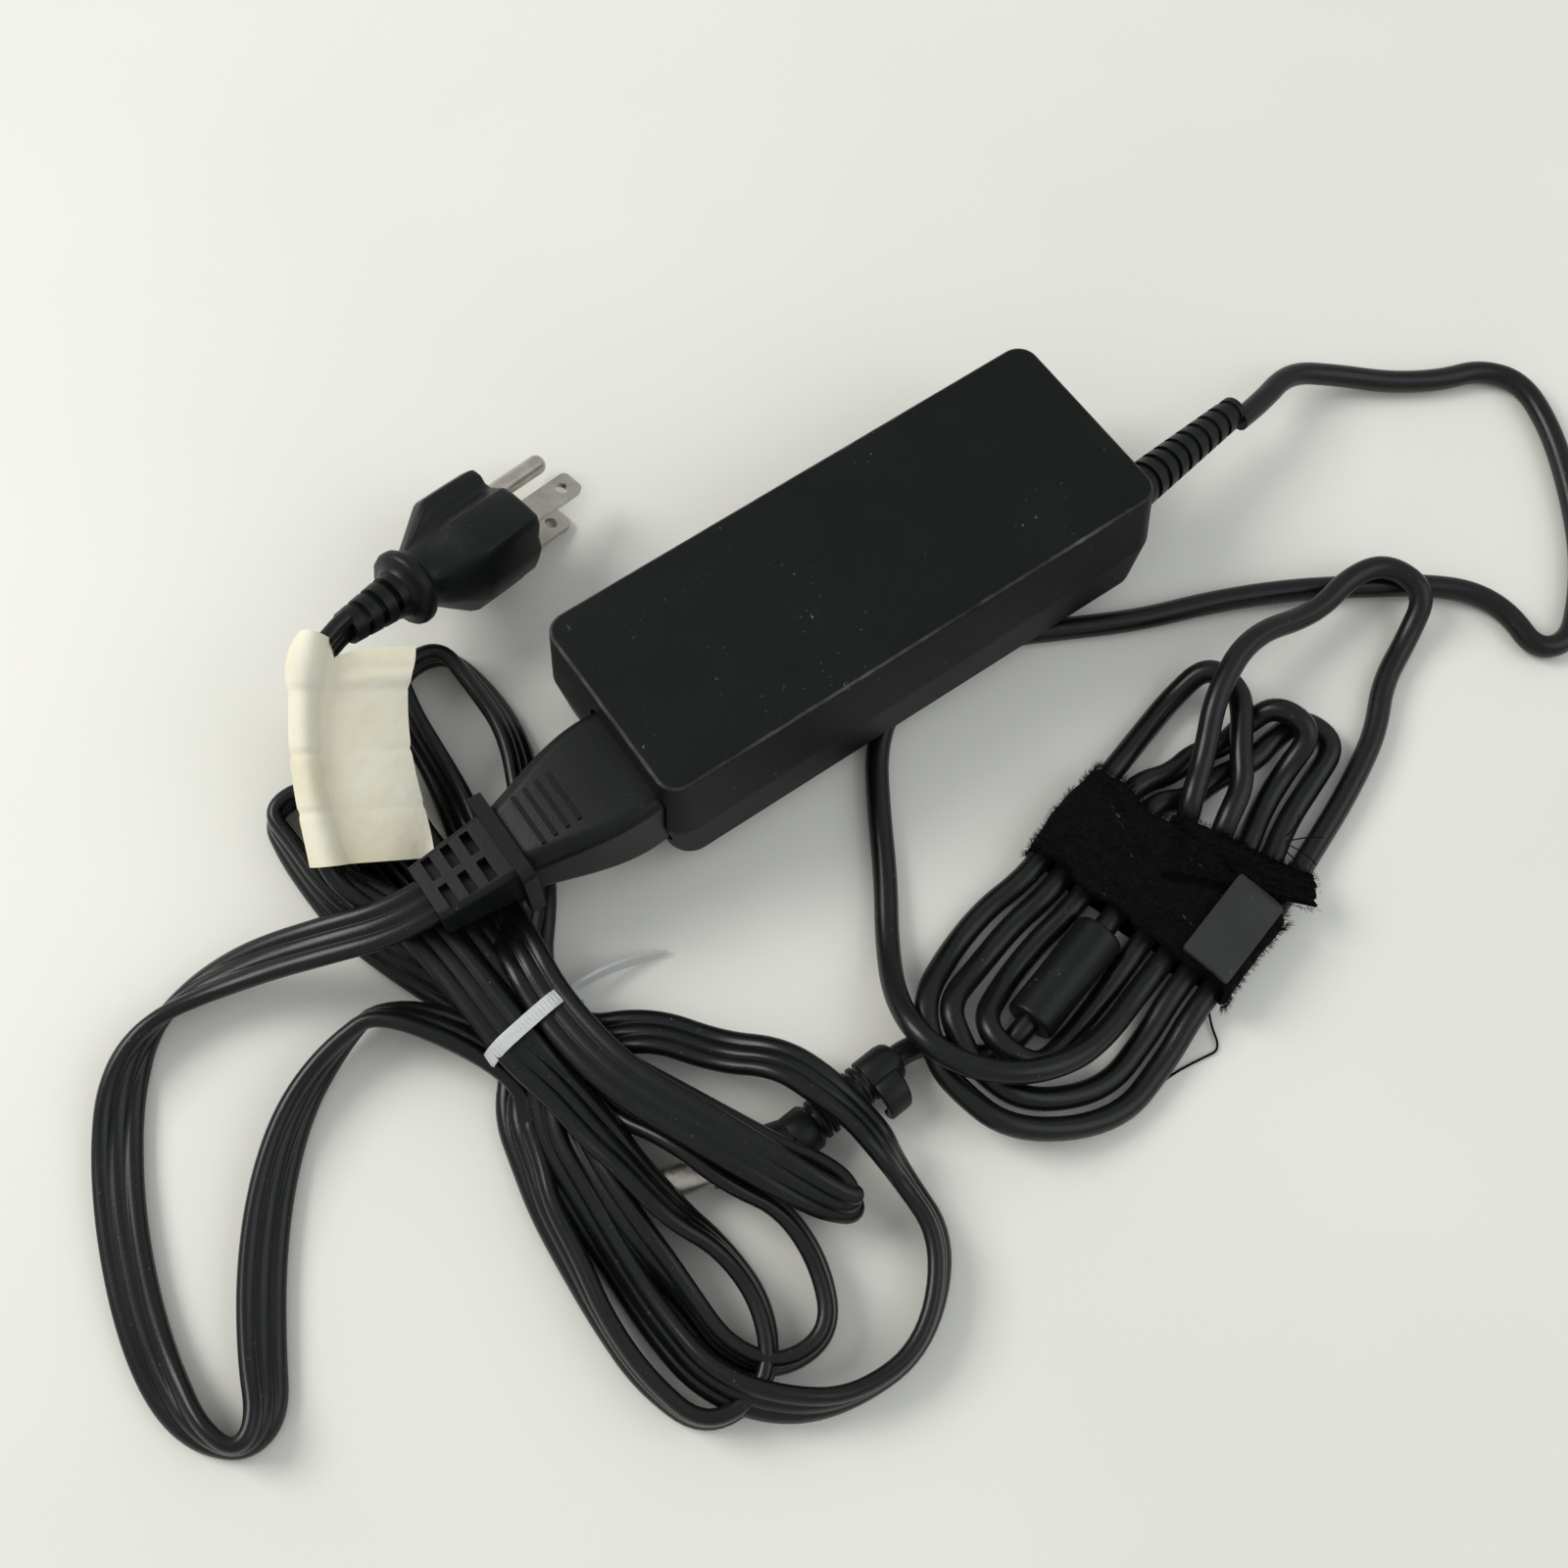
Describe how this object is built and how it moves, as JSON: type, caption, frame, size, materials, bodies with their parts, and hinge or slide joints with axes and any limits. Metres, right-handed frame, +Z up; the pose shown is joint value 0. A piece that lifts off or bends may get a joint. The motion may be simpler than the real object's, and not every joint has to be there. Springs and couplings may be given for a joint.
{
  "type": "laptop power adapter",
  "caption": "Black laptop power adapter with its mains cord tied in a hank and its low-voltage cord held by a strap.",
  "frame": {"origin": "under the middle of the brick, on the surface that it lies on; the cords are left out", "axes": "+X along the brick from its mains inlet to its low-voltage end, +Y to its far side, +Z up; the brick leans on the cord under its near side"},
  "size_m": [0.4016, 0.2224, 0.0408],
  "materials": {
    "board_laminate": "green laminate",
    "can_aluminium": "sleeved can",
    "ceramic_body": "coated ceramic",
    "clear_nylon": "translucent",
    "component_black": "moulded epoxy",
    "component_yellow": "box capacitor",
    "copper_winding": "enamelled copper",
    "cord_jacket": "satin jacket",
    "ferrite": "sintered ferrite",
    "inlet_plastic": "smooth",
    "insulation": "pressed sheet",
    "label_paper": "creased paper",
    "moulded_black": "satin, moulded on the cord",
    "nickel_plate": "nickel plated",
    "shell_plastic": "fine matte texture",
    "sink_aluminium": "sheet",
    "solder_wire": "tinned copper in sleeve",
    "strap_fleece": "looped fleece",
    "tab_plastic": "smooth strip",
    "white_insulator": "insulator"
  },
  "bodies": {
    "brick": {"bottom_case": "shell_plastic", "bridge_rectifier": "component_black", "bulk_capacitor": "can_aluminium", "cable_strap": "strap_fleece", "choke_windings": "copper_winding", "circuit_board": "board_laminate", "dc_cord_hank": "cord_jacket", "dc_cord_run": "cord_jacket", "dc_cord_tail": "cord_jacket", "dc_plug_barrel": "nickel_plate", "dc_plug_body": "moulded_black", "dc_plug_insulator": "white_insulator", "dc_plug_pin": "nickel_plate", "dc_plug_relief": "moulded_black", "dc_strain_relief": "moulded_black", "ferrite_core": "ferrite", "ferrite_housing": "moulded_black", "fuse": "ceramic_body", "heat_plate": "sink_aluminium", "inlet_housing": "inlet_plastic", "inlet_leads": "solder_wire", "inlet_pins": "nickel_plate", "insulation_sheet": "insulation", "line_choke": "ferrite", "optocoupler": "component_black", "output_capacitors": "can_aluminium", "output_leads": "solder_wire", "output_rectifier": "component_black", "power_transistor": "component_black", "primary_heatsink": "sink_aluminium", "secondary_heatsink": "sink_aluminium", "strap_tab": "tab_plastic", "surge_limiter": "ceramic_body", "top_cover": "shell_plastic", "transformer_core": "ferrite", "transformer_winding": "copper_winding", "x_capacitor": "component_yellow", "y_capacitors": "ceramic_body"},
    "mains_lead": {"ac_connector_body": "moulded_black", "ac_connector_contacts": "nickel_plate", "ac_connector_relief": "moulded_black", "ac_cord_hank": "cord_jacket", "ac_cord_lead": "cord_jacket", "ac_plug_body": "moulded_black", "ac_plug_lead": "cord_jacket", "ac_plug_relief": "moulded_black", "cable_tie": "clear_nylon", "label_flag": "label_paper", "plug_blades": "nickel_plate", "plug_ground_pin": "nickel_plate"}
  },
  "joints": [
    {"name": "mains_connector_slide", "type": "slide", "parent": "brick", "child": "mains_lead", "axis": [-1, 0, 0], "range_m": [0, 0.018]}
  ]
}
